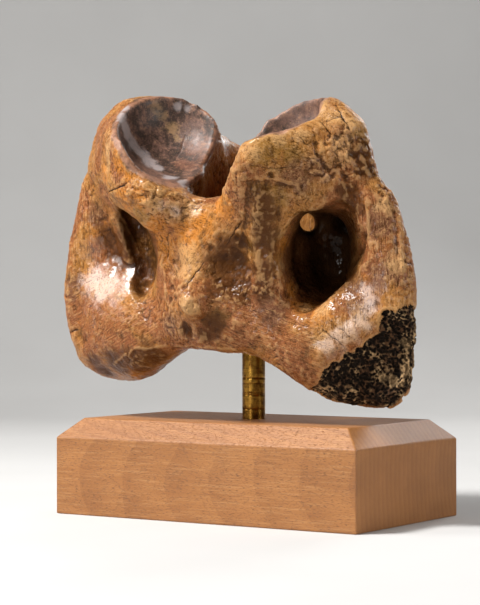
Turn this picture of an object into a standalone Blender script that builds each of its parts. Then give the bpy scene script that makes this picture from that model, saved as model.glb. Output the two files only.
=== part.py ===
"""Atlas, the first neck vertebra, of a bison, on a brass rod and a chamfered hardwood block.

The bone stands on its hind end: its front end, with the two cups for the skull, points up
and its underside faces -Y. +X is the viewer's right, +Y runs through the bone to its upper
side. The origin is the middle of the block's underside. Values are in millimetres unless a
name says otherwise and become metres through MM.
"""

import math

import bmesh
import bpy
from mathutils import Matrix, Vector

MM = 0.001

# Block
BLOCK_LENGTH = 144.0
BLOCK_DEPTH = 82.0
BLOCK_HEIGHT = 39.6
CHAMFER_HEIGHT = 7.8
CHAMFER_WIDTH = 8.2

# Rod
ROD_DIAMETER = 9.5
ROD_Y = -1.0
ROD_DEPTH_IN_BLOCK = 22.0
ROD_TOP_Z = 103.0
FIT_GAP = 0.3

# Hidden T piece inside the canal
TEE_Z = 100.0
TEE_REACH = 21.2
TEE_HUB_DIAMETER = 14.0
TEE_HUB_HEIGHT = 16.0
TEE_ARM_DIAMETER = 6.0
TEE_PAD_DIAMETER = 11.0
TEE_PAD_THICKNESS = 3.0

# Bone
RIGHT_SIDE_DROP = 0.06
CANAL_HALF_WIDTH = 22.0
CANAL_HALF_DEPTH = 24.5
CANAL_Y = 3.0
# Canal rings: height, share of the half width, of the half depth, and how far the side
# towards the lower arch is pinched in
CANAL_RINGS = (
    (40.0, 1.18, 1.12, 0.0),
    (62.0, 1.12, 1.06, 0.0),
    (80.0, 1.0, 1.0, 0.0),
    (128.0, 1.0, 1.0, 0.0),
    (142.0, 0.96, 1.0, 0.15),
    (152.0, 0.81, 1.0, 0.5),
    (190.0, 0.7, 1.05, 0.6),
)
BLEND_VOXEL = 1.6
BLEND_SMOOTHING = 14
FINE_VOXEL = 1.5
FINE_SMOOTHING = 3
BONE_SHARE_KEPT = 0.118


def clear_scene():
    for obj in list(bpy.data.objects):
        bpy.data.objects.remove(obj, do_unlink=True)


def new_collection(name):
    collection = bpy.data.collections.new(name)
    bpy.context.scene.collection.children.link(collection)
    return collection


def new_material(name, colour, roughness, metallic=0.0):
    material = bpy.data.materials.new(name)
    material.use_nodes = True
    shader = material.node_tree.nodes["Principled BSDF"]
    shader.inputs["Base Color"].default_value = (*colour, 1.0)
    shader.inputs["Roughness"].default_value = roughness
    shader.inputs["Metallic"].default_value = metallic
    return material


def object_from_bmesh(name, bm, collection, material=None):
    mesh = bpy.data.meshes.new(name)
    bmesh.ops.recalc_face_normals(bm, faces=bm.faces)
    bm.to_mesh(mesh)
    bm.free()
    obj = bpy.data.objects.new(name, mesh)
    collection.objects.link(obj)
    if material is not None:
        mesh.materials.append(material)
    return obj


def add_hull(bm, balls):
    """The convex hull of some balls, each (x, y, z, radius)."""
    part = bmesh.new()
    for x, y, z, radius in balls:
        place = Matrix.Translation((x * MM, y * MM, z * MM))
        bmesh.ops.create_icosphere(part, subdivisions=3, radius=radius * MM, matrix=place)
    hull = bmesh.ops.convex_hull(part, input=part.verts)
    inside = set(hull["geom_interior"]) | set(hull["geom_unused"])
    loose = [item for item in inside if isinstance(item, bmesh.types.BMVert)]
    bmesh.ops.delete(part, geom=loose, context="VERTS")
    append(bm, part)


def add_aimed_ellipsoid(bm, centre, radii, long, out):
    """An ellipsoid whose first axis runs along long and whose third axis faces out."""
    out = Vector(out).normalized()
    long = Vector(long)
    long = (long - out * long.dot(out)).normalized()
    turn = Matrix((long, out.cross(long), out)).transposed().to_4x4()
    part = bmesh.new()
    place = (
        Matrix.Translation(Vector(centre) * MM) @ turn
        @ Matrix.Diagonal((*(radius * MM for radius in radii), 1.0))
    )
    bmesh.ops.create_uvsphere(part, u_segments=40, v_segments=24, radius=1.0, matrix=place)
    append(bm, part)


def add_cup(bm, side):
    out = Vector((side * CUP_FACES[0], *CUP_FACES[1:])).normalized()
    middle = Vector(CUP_RIM_CENTRES[side]) + out * CUP_LIFT
    add_aimed_ellipsoid(bm, middle, CUP_RADII[side], (side * CUP_LONG[0], *CUP_LONG[1:]), out)


def append(bm, part):
    bmesh.ops.recalc_face_normals(part, faces=part.faces)
    mesh = bpy.data.meshes.new("piece")
    part.to_mesh(mesh)
    part.free()
    bm.from_mesh(mesh)
    bpy.data.meshes.remove(mesh)


def sided(balls, side):
    return [(side * x, y, z, radius) for x, y, z, radius in balls]


def add_remesh(obj, voxel):
    remesh = obj.modifiers.new("Remesh", "REMESH")
    remesh.mode = "VOXEL"
    remesh.voxel_size = voxel * MM
    remesh.adaptivity = 0.0
    return remesh


def add_smooth(obj, iterations, factor=0.5):
    smooth = obj.modifiers.new("Smooth", "SMOOTH")
    smooth.factor = factor
    smooth.iterations = iterations


# Bone, right half: balls are (x, y, z, radius) and the left half mirrors them
CUP_BODY = [
    (25.5, -44.0, 139.0, 7.0),
    (25.0, -44.5, 146.0, 5.0),
    (29.5, -45.0, 146.0, 7.0),
    (33.0, -43.5, 150.0, 6.5),
    (45.0, -29.0, 154.5, 7.5),
    (57.0, -19.0, 157.0, 8.5),
    (50.0, -17.0, 163.5, 7.5),
    (42.0, -8.0, 165.5, 6.5),
    (29.0, -6.0, 167.0, 6.0),
    (23.5, -3.5, 165.0, 4.5),
    (14.5, -8.0, 159.0, 4.5),
    (13.0, -13.0, 151.0, 4.5),
    (21.0, -2.0, 150.0, 5.0),
    (59.0, -18.0, 141.0, 10.5),
    (60.0, -14.0, 128.0, 10.0),
    (28.0, -35.0, 132.0, 8.0),
    (22.0, -32.0, 128.0, 7.0),
    (32.0, 12.0, 146.0, 9.0),
    (30.0, 16.0, 128.0, 8.0),
]
BROW = [
    (22.0, -40.0, 135.0, 7.5),
    (38.0, -36.0, 138.0, 8.0),
    (20.0, -29.0, 120.0, 7.0),
    (24.0, -22.0, 116.0, 8.0),
    (12.0, -32.0, 121.0, 7.0),
]
ARCH_UPPER = [
    (0.0, -34.0, 123.0, 6.5),
    (0.0, -32.5, 105.0, 10.0),
    (14.0, -33.0, 124.0, 7.0),
    (24.0, -28.0, 125.0, 8.0),
    (15.0, -26.5, 105.0, 8.5),
    (21.5, -19.0, 105.0, 8.0),
]
ARCH_LOWER = [
    (0.0, -32.5, 105.0, 10.0),
    (15.0, -26.5, 105.0, 8.5),
    (21.5, -19.0, 105.0, 8.0),
    (0.0, -32.5, 90.0, 10.5),
    (17.0, -25.0, 92.0, 9.0),
    (0.0, -30.5, 76.5, 9.0),
    (22.0, -26.0, 77.0, 9.5),
]
CAUDAL_MASS = [
    (20.0, -26.0, 77.0, 9.5),
    (30.0, -24.0, 73.0, 10.0),
    (40.0, -22.0, 68.0, 11.0),
    (50.0, -15.0, 62.0, 10.5),
    (58.0, -8.0, 60.0, 9.5),
    (60.0, 0.0, 67.0, 10.0),
    (38.0, 12.0, 82.0, 10.0),
    (50.0, -6.0, 80.0, 13.0),
    (34.0, -18.0, 84.0, 11.0),
    (36.0, 14.0, 92.0, 10.0),
]
CORE = [
    (34.0, 3.0, 80.0, 11.0),
    (34.0, 4.0, 124.0, 11.0),
    (54.0, 4.0, 122.0, 12.0),
    (54.0, 7.0, 84.0, 12.0),
    (36.0, 18.0, 132.0, 9.0),
    (36.0, 20.0, 79.0, 10.0),
]
WING = [
    (63.5, -17.0, 137.0, 8.0),
    (69.5, -16.0, 130.0, 7.0),
    (70.8, -16.0, 125.0, 7.0),
    (73.7, -15.5, 114.0, 7.0),
    (77.2, -17.2, 98.4, 7.0),
    (77.7, -18.2, 86.5, 7.0),
    (76.9, -16.4, 72.6, 7.0),
    (74.0, -13.8, 61.5, 7.0),
    (67.0, -10.0, 58.0, 7.5),
    (60.0, -7.0, 58.0, 8.0),
    (58.0, -6.0, 128.0, 11.0),
    (54.0, 0.0, 110.0, 12.0),
    (54.0, 1.0, 92.0, 12.5),
    (57.0, 8.0, 100.0, 12.0),
    (59.0, 3.0, 74.0, 11.0),
]
WING_SWEEP = [
    (38.0, -24.0, 76.0, 10.5),
    (50.0, -21.0, 70.0, 11.0),
    (60.0, -16.5, 77.0, 10.0),
    (69.0, -15.5, 82.0, 9.0),
    (70.0, -14.0, 64.0, 8.5),
    (56.0, -12.0, 62.0, 10.0),
    (74.0, -15.0, 94.0, 8.5),
    (64.0, -9.0, 104.0, 9.0),
    (54.0, -2.0, 96.0, 11.0),
]
DORSAL_SIDE = [
    (29.0, 4.0, 156.0, 6.5),
    (30.0, 18.0, 151.0, 7.0),
    (27.0, 27.0, 147.5, 7.0),
    (36.0, 18.0, 128.0, 9.0),
    (38.0, 20.0, 80.0, 9.0),
    (26.0, 32.0, 77.0, 8.5),
]
DORSAL_MID = [
    (27.0, 27.0, 147.5, 7.0),
    (14.0, 35.0, 145.0, 6.5),
    (0.0, 38.0, 143.0, 6.5),
    (26.0, 32.0, 78.0, 8.5),
    (0.0, 38.0, 84.0, 8.0),
]
BONE_HULLS = (
    CUP_BODY, BROW, ARCH_UPPER, ARCH_LOWER, CAUDAL_MASS, CORE, WING, WING_SWEEP,
    DORSAL_SIDE, DORSAL_MID,
)
RIGHT_COLUMN_UPPER = [
    (25.0, -42.0, 137.0, 7.5),
    (36.0, -35.0, 134.0, 8.0),
    (28.0, -37.0, 127.0, 8.0),
    (27.0, -31.0, 116.0, 8.0),
    (26.0, -27.0, 108.0, 8.0),
    (17.0, -30.0, 118.0, 8.0),
]
RIGHT_COLUMN_LOWER = [
    (27.0, -31.0, 116.0, 8.0),
    (26.5, -27.0, 104.0, 8.0),
    (27.0, -25.0, 90.0, 8.5),
    (30.0, -24.0, 78.0, 9.0),
    (18.0, -26.0, 96.0, 8.0),
]
# Wall between each wing's hollow and the canal
MEDIAL_WALL = [
    (24.0, -17.0, 124.0, 6.0),
    (31.0, -3.0, 124.0, 6.0),
    (24.0, -17.0, 84.0, 6.0),
    (31.0, -3.0, 84.0, 6.0),
]
# Crest between the left wing and its hollow
LEFT_CREST = [
    (-52.0, -26.0, 131.0, 4.5),
    (-49.0, -24.5, 117.0, 3.5),
    (-47.5, -18.5, 104.0, 4.0),
    (-47.5, -17.5, 93.0, 4.0),
    (-54.0, -14.0, 128.0, 6.0),
    (-56.0, -8.0, 96.0, 6.0),
]
# Sloping side of the left wing's hollow towards the middle of the bone
LEFT_SLOPE = [
    (-18.0, -31.5, 119.0, 6.0),
    (-18.0, -31.5, 92.0, 6.0),
    (-41.7, -12.2, 122.0, 5.0),
    (-41.7, -12.2, 88.0, 5.0),
    (-50.0, -6.0, 106.0, 6.0),
]
LEFT_BROW = [
    (-20.0, -44.0, 131.0, 8.0),
    (-33.0, -42.0, 134.0, 8.0),
    (-44.0, -31.0, 138.0, 9.0),
    (-22.0, -37.0, 122.0, 8.5),
    (-36.0, -32.0, 125.0, 8.5),
    (-11.0, -36.0, 124.0, 7.5),
]
LOWER_TUBERCLE = [
    (-4.5, -43.0, 91.0, 5.0),
    (-0.5, -43.5, 87.0, 5.5),
    (-1.0, -36.0, 80.0, 5.0),
    (-3.0, -35.0, 97.0, 7.0),
]
UPPER_TUBERCLE = [
    (0.0, 42.0, 124.0, 7.0),
    (3.0, 43.0, 112.0, 8.0),
    (-3.0, 42.0, 100.0, 7.0),
]
FOSSA_RIGHT = [
    (43.0, -34.0, 108.0, 10.5),
    (45.5, -26.0, 118.0, 9.5),
    (42.5, -27.0, 99.0, 9.5),
    (41.5, -7.0, 110.0, 9.5),
    (41.5, -9.0, 116.5, 8.5),
    (41.5, -7.0, 102.0, 8.0),
]
FOSSA_RIGHT_FLARE = [
    (60.0, -29.5, 112.0, 10.0),
    (58.0, -30.0, 122.0, 8.0),
    (47.0, -15.0, 119.0, 6.0),
    (47.0, -15.0, 106.0, 6.0),
    (42.0, -31.0, 93.3, 8.5),
    (41.0, -14.5, 97.3, 6.0),
]
FOSSA_LEFT = [
    (-27.5, -42.0, 104.0, 8.0),
    (-32.0, -42.0, 113.0, 6.5),
    (-41.0, -40.0, 118.0, 7.0),
    (-37.5, -40.0, 100.0, 7.0),
    (-31.0, -40.0, 93.0, 5.0),
    (-46.0, -22.0, 121.0, 3.5),
    (-43.5, -20.0, 112.0, 4.0),
    (-41.0, -20.0, 102.0, 4.0),
    (-40.5, -22.0, 91.0, 3.5),
]
ALAR_FORAMEN = [
    (42.0, -10.0, 119.0, 6.0),
    (48.0, 12.0, 127.0, 6.0),
    (54.0, 40.0, 138.0, 8.0),
]
LATERAL_FORAMEN_RIGHT = [
    (38.0, -17.5, 121.5, 4.3),
    (12.0, 19.5, 122.0, 4.3),
]
LATERAL_FORAMEN_LEFT = [
    (-45.0, 4.0, 123.0, 4.3),
    (-12.0, 12.0, 122.0, 4.3),
]
# Broken corner of the right wing, and nicks in the left wing's margin
BROKEN_CORNER_CENTRE = (67.0, -27.0, 66.5)
BROKEN_CORNER_RADII = (27.0, 14.5, 7.5)
BROKEN_CORNER_LONG = (0.72, 0.10, 0.69)
BROKEN_CORNER_FACES = (0.50, -0.80, -0.33)
RIGHT_RIM_WEAR = [
    (28.0, -48.0, 159.0, 7.0),
    (38.0, -38.0, 164.0, 7.5),
    (43.0, -30.0, 166.5, 7.5),
]
LEFT_NICKS = (
    (-89.5, -19.0, 91.5, 5.0),
    (-88.0, -18.0, 71.0, 3.5),
)
# Notch in the front border of the lower arch
NOTCH = [
    (-0.3, -80.0, 157.5, 28.0),
    (-0.3, -40.0, 157.5, 28.0),
]
# Cup hollow: the middle of its rim, the way it faces and the long way along the rim
CUP_RIM_CENTRES = {
    1.0: (31.1, -23.5, 155.8),
    -1.0: (-25.4, -25.4, 153.9),
}
CUP_FACES = (-0.65, -0.28, 0.706)
CUP_LONG = (0.248, 0.80, 0.546)
CUP_RADII = {
    1.0: (24.0, 19.5, 20.0),
    -1.0: (28.8, 21.5, 20.0),
}
CUP_LIFT = 7.0
CUP_SHIFT_LEFT = 1.5


def bone_solid(collection, material):
    bm = bmesh.new()
    for side in (1.0, -1.0):
        for balls in BONE_HULLS:
            add_hull(bm, sided(worn(balls, side), side))
        add_hull(bm, sided(MEDIAL_WALL, side))
    add_hull(bm, RIGHT_COLUMN_UPPER)
    add_hull(bm, RIGHT_COLUMN_LOWER)
    add_hull(bm, LEFT_BROW)
    add_hull(bm, LEFT_CREST)
    add_hull(bm, LEFT_SLOPE)
    add_hull(bm, LOWER_TUBERCLE)
    add_hull(bm, UPPER_TUBERCLE)
    lean(bm)
    bone = object_from_bmesh("atlas_vertebra", bm, collection, material)
    bone.data.shade_smooth()
    add_remesh(bone, BLEND_VOXEL).use_smooth_shade = True
    add_smooth(bone, BLEND_SMOOTHING)
    return bone


def worn(balls, side):
    """The right shoulder is worn back and the right hind corner hangs a little lower.

    On the left the top of the shoulder is worn.
    """
    changed = []
    for x, y, z, radius in balls:
        if side > 0:
            if x > 58.0:
                x -= 3.0 * max(0.0, 1.0 - abs(z - 139.0) / 10.0)
            if x > 48.0 and z < 70.0:
                z -= 1.5
        elif x > 54.0 and z > 150.0:
            radius -= 1.2
        changed.append((x, y, z, radius))
    return changed


def lean(bm):
    """The bone sits lower on its right side, and its cups lie a little left of the block's middle."""
    for vert in bm.verts:
        x, y, z = vert.co
        high = min(max((z - 0.115) / 0.025, 0.0), 1.0)
        vert.co.x = x - CUP_SHIFT_LEFT * MM * high
        vert.co.z = z - x * RIGHT_SIDE_DROP


def bone_cutters(collection):
    bm = bmesh.new()
    canal = bmesh.new()
    loops = []
    for z, wide, deep, pinched in CANAL_RINGS:
        loop = []
        for step in range(32):
            angle = 2.0 * math.pi * step / 32
            lower = max(0.0, -math.sin(angle))
            x = CANAL_HALF_WIDTH * wide * math.cos(angle) * (1.0 - pinched * lower)
            y = CANAL_Y + CANAL_HALF_DEPTH * deep * math.sin(angle)
            loop.append(canal.verts.new((x * MM, y * MM, z * MM)))
        loops.append(loop)
    for low, high in zip(loops[:-1], loops[1:]):
        for step in range(32):
            after = (step + 1) % 32
            canal.faces.new((low[step], low[after], high[after], high[step]))
    canal.faces.new(list(reversed(loops[0])))
    canal.faces.new(loops[-1])
    append(bm, canal)
    add_hull(bm, NOTCH)
    for side in (1.0, -1.0):
        add_cup(bm, side)
        add_hull(bm, sided(ALAR_FORAMEN[:2], side))
        add_hull(bm, sided(ALAR_FORAMEN[1:], side))
    add_hull(bm, LATERAL_FORAMEN_RIGHT)
    add_hull(bm, LATERAL_FORAMEN_LEFT)
    add_hull(bm, FOSSA_RIGHT)
    add_hull(bm, FOSSA_RIGHT_FLARE)
    add_hull(bm, FOSSA_LEFT)
    add_aimed_ellipsoid(
        bm, BROKEN_CORNER_CENTRE, BROKEN_CORNER_RADII, BROKEN_CORNER_LONG, BROKEN_CORNER_FACES
    )
    add_hull(bm, RIGHT_RIM_WEAR)
    for nick in LEFT_NICKS:
        add_hull(bm, [nick])
    lean(bm)
    cutters = object_from_bmesh("bone_cutters", bm, collection)
    add_remesh(cutters, 1.2)
    return as_cutter(cutters)


def block(collection, material):
    bm = bmesh.new()
    bmesh.ops.create_cube(
        bm,
        size=1.0,
        matrix=Matrix.Translation((0.0, 0.0, BLOCK_HEIGHT * MM / 2))
        @ Matrix.Diagonal((BLOCK_LENGTH * MM, BLOCK_DEPTH * MM, BLOCK_HEIGHT * MM, 1.0)),
    )
    top = [vert for vert in bm.verts if vert.co.z > BLOCK_HEIGHT * MM * 0.9]
    edge_z = (BLOCK_HEIGHT - CHAMFER_HEIGHT) * MM
    extruded = bmesh.ops.extrude_face_region(
        bm, geom=[face for face in bm.faces if all(vert in top for vert in face.verts)]
    )
    old_top = [face for face in bm.faces if all(vert in top for vert in face.verts)]
    bmesh.ops.delete(bm, geom=old_top, context="FACES_ONLY")
    for vert in top:
        vert.co.z = edge_z
    for item in extruded["geom"]:
        if isinstance(item, bmesh.types.BMVert):
            item.co.x -= math.copysign(CHAMFER_WIDTH * MM, item.co.x)
            item.co.y -= math.copysign(CHAMFER_WIDTH * MM, item.co.y)
    obj = object_from_bmesh("base_block", bm, collection, material)
    bevel = obj.modifiers.new("Bevel", "BEVEL")
    bevel.width = 0.5 * MM
    bevel.segments = 2
    bevel.limit_method = "ANGLE"
    bevel.angle_limit = math.radians(30)
    return obj


def cylinder(bm, radius, low, high, place=None, segments=48):
    matrix = Matrix.Translation((0.0, 0.0, (low + high) * MM / 2))
    if place is not None:
        matrix = place @ matrix
    bmesh.ops.create_cone(
        bm,
        cap_ends=True,
        segments=segments,
        radius1=radius * MM,
        radius2=radius * MM,
        depth=(high - low) * MM,
        matrix=matrix,
    )


def as_cutter(obj):
    obj.hide_render = True
    obj.display_type = "WIRE"
    return obj


def rod_hole(collection):
    bm = bmesh.new()
    cylinder(bm, ROD_DIAMETER / 2 + FIT_GAP, BLOCK_HEIGHT - ROD_DEPTH_IN_BLOCK, BLOCK_HEIGHT + 10.0)
    hole = object_from_bmesh("rod_hole", bm, collection)
    hole.location = (0.0, ROD_Y * MM, 0.0)
    return as_cutter(hole)


def shade_round(obj):
    obj.data.shade_smooth()
    obj.data.set_sharp_from_angle(angle=math.radians(40))


def rod(collection, material):
    bm = bmesh.new()
    low = BLOCK_HEIGHT - ROD_DEPTH_IN_BLOCK + FIT_GAP
    cylinder(bm, ROD_DIAMETER / 2, low, ROD_TOP_Z)
    obj = object_from_bmesh("brass_rod", bm, collection, material)
    obj.location = (0.0, ROD_Y * MM, 0.0)
    shade_round(obj)
    return obj


def tee_piece(collection, cutters, material):
    """A hub on the rod's top with two arms, whose pads press outwards on the canal's walls."""
    bm = bmesh.new()
    cylinder(bm, TEE_HUB_DIAMETER / 2, TEE_Z - TEE_HUB_HEIGHT / 2, TEE_Z + TEE_HUB_HEIGHT / 2)
    hub = object_from_bmesh("mount_crossbar", bm, collection, material)
    hub.location = (0.0, ROD_Y * MM, 0.0)
    shade_round(hub)
    pad = TEE_PAD_DIAMETER / 2
    arm = TEE_ARM_DIAMETER / 2
    inner = TEE_REACH - TEE_PAD_THICKNESS
    outline = (
        (0.0, -TEE_REACH), (pad - 0.6, -TEE_REACH), (pad, 0.6 - TEE_REACH), (pad, -inner),
        (arm, -inner), (arm, inner), (pad, inner), (pad, TEE_REACH - 0.6),
        (pad - 0.6, TEE_REACH), (0.0, TEE_REACH),
    )
    bm = bmesh.new()
    verts = [bm.verts.new((radius * MM, 0.0, -along * MM)) for radius, along in outline]
    for first, second in zip(verts[:-1], verts[1:]):
        bm.edges.new((first, second))
    mesh = bpy.data.meshes.new("mount_arms")
    bm.to_mesh(mesh)
    bm.free()
    arms = bpy.data.objects.new("mount_arms", mesh)
    cutters.objects.link(arms)
    arms.rotation_euler = (0.0, math.radians(90), 0.0)
    arms.location = (0.0, ROD_Y * MM, TEE_Z * MM)
    screw = arms.modifiers.new("Screw", "SCREW")
    screw.steps = 40
    screw.render_steps = 40
    screw.use_merge_vertices = True
    screw.merge_threshold = 0.00005
    as_cutter(arms)
    join = hub.modifiers.new("Arms", "BOOLEAN")
    join.operation = "UNION"
    join.solver = "EXACT"
    join.object = arms
    bm = bmesh.new()
    cylinder(bm, ROD_DIAMETER / 2 + FIT_GAP, TEE_Z - TEE_HUB_HEIGHT, ROD_TOP_Z + FIT_GAP)
    socket = object_from_bmesh("rod_socket", bm, cutters)
    socket.location = (0.0, ROD_Y * MM, 0.0)
    cut(hub, as_cutter(socket), "Socket")
    return hub


def cut(target, cutter, name):
    boolean = target.modifiers.new(name, "BOOLEAN")
    boolean.operation = "DIFFERENCE"
    boolean.solver = "EXACT"
    boolean.object = cutter
    return boolean


def main():
    clear_scene()
    parts = new_collection("bison_atlas")
    cutters = new_collection("cutters")
    bone_material = new_material("fossil_bone", (0.36, 0.19, 0.08), 0.35)
    wood_material = new_material("block_wood", (0.46, 0.26, 0.13), 0.55)
    brass_material = new_material("rod_brass", (0.72, 0.50, 0.20), 0.28, 1.0)

    bone = bone_solid(parts, bone_material)
    cut(bone, bone_cutters(cutters), "Openings")
    add_remesh(bone, FINE_VOXEL).use_smooth_shade = True
    add_smooth(bone, FINE_SMOOTHING)
    decimate = bone.modifiers.new("Decimate", "DECIMATE")
    decimate.ratio = BONE_SHARE_KEPT

    base = block(parts, wood_material)
    cut(base, rod_hole(cutters), "Rod hole")
    rod(parts, brass_material)
    tee_piece(parts, cutters, brass_material)


main()
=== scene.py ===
"""The looks of the bison atlas on its rod and block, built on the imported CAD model.

The bone is a dense copy of its CAD node, sculpted in millimetres on its vertices. Features that
the photo shows are named by their pixels there, and a ray from the photo's camera puts each on
the surface that carries it. The rod is turned anew, and the block and crossbar keep their shape.
"""

import itertools
import math

import bmesh
import bpy
import numpy as np
from mathutils import Matrix, Vector
from mathutils.bvhtree import BVHTree
from mathutils.kdtree import KDTree
from numpy.linalg import norm


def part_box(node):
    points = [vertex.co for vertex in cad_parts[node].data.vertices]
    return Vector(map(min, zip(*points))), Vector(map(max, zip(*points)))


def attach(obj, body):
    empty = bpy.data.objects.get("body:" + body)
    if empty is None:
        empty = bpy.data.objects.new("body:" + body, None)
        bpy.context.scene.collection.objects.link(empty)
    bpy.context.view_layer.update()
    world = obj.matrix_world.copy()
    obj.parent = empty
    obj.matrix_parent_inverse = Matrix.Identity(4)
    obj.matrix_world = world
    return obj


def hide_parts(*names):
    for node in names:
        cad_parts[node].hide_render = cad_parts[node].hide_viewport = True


MM = 0.001

# Camera, fitted to the edges of the wood block in the photo
PHOTO_WIDTH = 480
PHOTO_HEIGHT = 605
FOCAL_PX = 2000.0
CAMERA_PLACE = (0.451738, -0.691547, 0.087229)
YAW = 33.58
PITCH = -0.02
ROLL = -0.11
SENSOR_MM = 36.0

# Density of the sculpted bone, and how far the smoothing of its coarse facets reaches
BONE_VOXEL = 0.5
FACET_SIGMA = 1.5

# The rod, as in the CAD source, and the rings turned into it
ROD_RADIUS = 4.75
ROD_Y = -1.0
ROD_BOTTOM_BEVEL = 0.3
ROD_TOP_BEVEL = 0.4
RING_SPACING = (0.35, 1.5)
RING_HALF_WIDTH = 0.12
RING_FREE_TOP = 1.2
FINE_RING_DEPTH = (0.003, 0.02)
DEEP_RING_DEPTH = 0.07
FINE_RING_SHARE = 0.85

# The bone's lean and upward shift to the left, as in the CAD source
RIGHT_SIDE_DROP = 0.06
CUP_SHIFT_LEFT = 1.5
CUP_SHIFT_START = 115.0
CUP_SHIFT_RISE = 25.0
# The two cups, as in the CAD source: side, middle of the rim and radii
CUPS = (
    (1.0, (31.1, -23.5, 155.8), (24.0, 19.5, 20.0)),
    (-1.0, (-25.4, -25.4, 153.9), (28.8, 21.5, 20.0)),
)
# Where the right cup opens to, its long axis, and how far its ellipsoid's middle lies beyond the
# rim's. The left cup mirrors them.
CUP_OUT = (-0.65, -0.28, 0.706)
CUP_LONG = (0.248, 0.80, 0.546)
CUP_LIFT = 7.0

# The broken corner lies beyond this x and below this z
BREAK_INNER_X = 40.0
BREAK_TOP_Z = 95.0

# Material slots of the bone, in the order that sculpted_bone fills them
WORN, SPONGY, POLISHED, SATIN = range(4)

# Floor and backdrop, in metres, along the camera's view and across it
FLOOR_NEAR = -2.5
FLOOR_FAR = 0.7
SWEEP_RADIUS = 0.5
SWEEP_STEPS = 16
BACKDROP_TOP = 3.0
FLOOR_HALF_WIDTH = 3.5

# Softboxes: name, place, width and height in metres, power in watts and what each points at
BONE_MIDDLE = (0.0, 0.0, 0.11)
CUP_HEIGHT = (-0.03, 0.0, 0.15)
SOFTBOXES = (
    ("left_softbox", (-0.62, -0.465, 0.46), (0.4, 0.42), 3.9, BONE_MIDDLE),
    ("top_softbox", (-0.3, -0.46, 0.93), (0.22, 0.22), 18.0, BONE_MIDDLE),
    ("back_softbox", (0.02, 0.8, 0.5), (0.3, 0.42), 3.0, CUP_HEIGHT),
    ("front_softbox", (-0.05, -0.95, 0.24), (0.18, 0.18), 1.6, BONE_MIDDLE),
    ("right_softbox", (0.85, 0.05, 0.32), (0.35, 0.35), 3.4, BONE_MIDDLE),
)
WORLD_GREY = (0.03, 0.03, 0.03, 1.0)

# Colours, linear
GOLDEN = (0.36, 0.15, 0.035)
ORANGE = (0.52, 0.18, 0.022)
RUSSET = (0.26, 0.085, 0.028)
PURPLE = (0.14, 0.058, 0.032)
OLIVE = (0.27, 0.14, 0.03)
# Painted shade in the dark spots
SHADE_BROWN = (0.1, 0.03, 0.005)
# Umber: the bone's dark mottling, and painted shade in spots, creases and hollows
UMBER = (0.045, 0.014, 0.003)
# The dark of cracks and pores, and painted shade deep in hollows
DIRT_AND_SHADE = (0.016, 0.005, 0.001)
TAN = (0.6, 0.34, 0.14)
# Painted highlights
PAINTED_HIGHLIGHT_PINK = (0.62, 0.45, 0.36)
CUP_DARK = (0.045, 0.027, 0.02)
CUP_MAUVE = (0.17, 0.09, 0.065)
CUP_RED = (0.22, 0.085, 0.045)
CUP_TAN = (0.3, 0.18, 0.08)
# Painted highlight in the cup
CUP_PAINTED_HIGHLIGHT = (0.36, 0.31, 0.3)
PINK_TAN = (0.42, 0.19, 0.1)
SPONGE_DARK = (0.01, 0.005, 0.002)
SPONGE_MIDDLE = (0.09, 0.042, 0.018)
SPONGE_LIGHT = (0.46, 0.29, 0.14)
WOOD_LIGHT = (0.36, 0.145, 0.037)
WOOD_DARK = (0.23, 0.082, 0.018)
WOOD_PORE = (0.11, 0.04, 0.014)
BRASS = (0.4, 0.21, 0.035)
BRASS_DARK = (0.13, 0.055, 0.01)
FLOOR_DARK = (0.5, 0.49, 0.475)
FLOOR_LIGHT = (0.55, 0.54, 0.525)
# Tints of the reflections, on worn and on polished bone
WARM_TINT = (1.0, 0.7, 0.4, 1.0)
CLEAR_TINT = (1.0, 0.96, 0.92, 1.0)

# Cracks in the bone, as lines of photo pixels, each with its width in millimetres
CRACKS = (
    (0.2, ((240.6, 222.4), (224.8, 246.7), (203, 262.4), (187.3, 284.2), (182.4, 289))),
    (0.1, ((250, 166), (257.4, 166.5), (275, 168.5), (290, 167.6))),
    (0.14, ((365.5, 213), (366.9, 227.3), (365.5, 247.4), (361.2, 256), (356.9, 261.7))),
    (0.24, ((109, 192), (115, 189), (122, 186), (128, 182))),
    (0.22, ((336.5, 104), (338.8, 108.4), (342, 116), (346, 122), (350, 129.6))),
    (0.18, ((321, 121.8), (326, 127), (329.9, 133), (328.8, 140.8))),
    (0.1, ((323, 122), (330, 119.6), (337.7, 117.4))),
    (0.1, ((346, 122), (352, 121), (357, 124))),
    (0.1, ((332, 133), (326, 142), (328, 150))),
    (0.1, ((345, 124), (343, 133), (336, 140))),
    (0.1, ((330, 133), (338, 136), (346, 138))),
    (0.08, ((312, 128), (316, 138), (313, 148))),
    (0.08, ((350, 130), (353, 138), (350, 148), (356, 156))),
    (0.08, ((334, 146), (342, 150), (352, 151))),
    (0.08, ((322, 160), (332, 166), (342, 166), (350, 172))),
    (0.2, ((70, 332), (73, 331), (77, 330))),
    (0.12, ((323.9, 330.6), (333, 338), (346.8, 349.3))),
    (0.1, ((338, 327), (345, 333), (352, 339))),
    (0.07, ((286, 150), (300, 156), (318, 160))),
    (0.08, ((213, 262), (220, 280), (222, 300))),
    (0.08, ((150, 200), (162, 206), (178, 208), (196, 206))),
    (0.08, ((138, 190), (146, 196), (148, 204))),
    (0.08, ((184, 138), (181, 150), (176, 158))),
)
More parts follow.
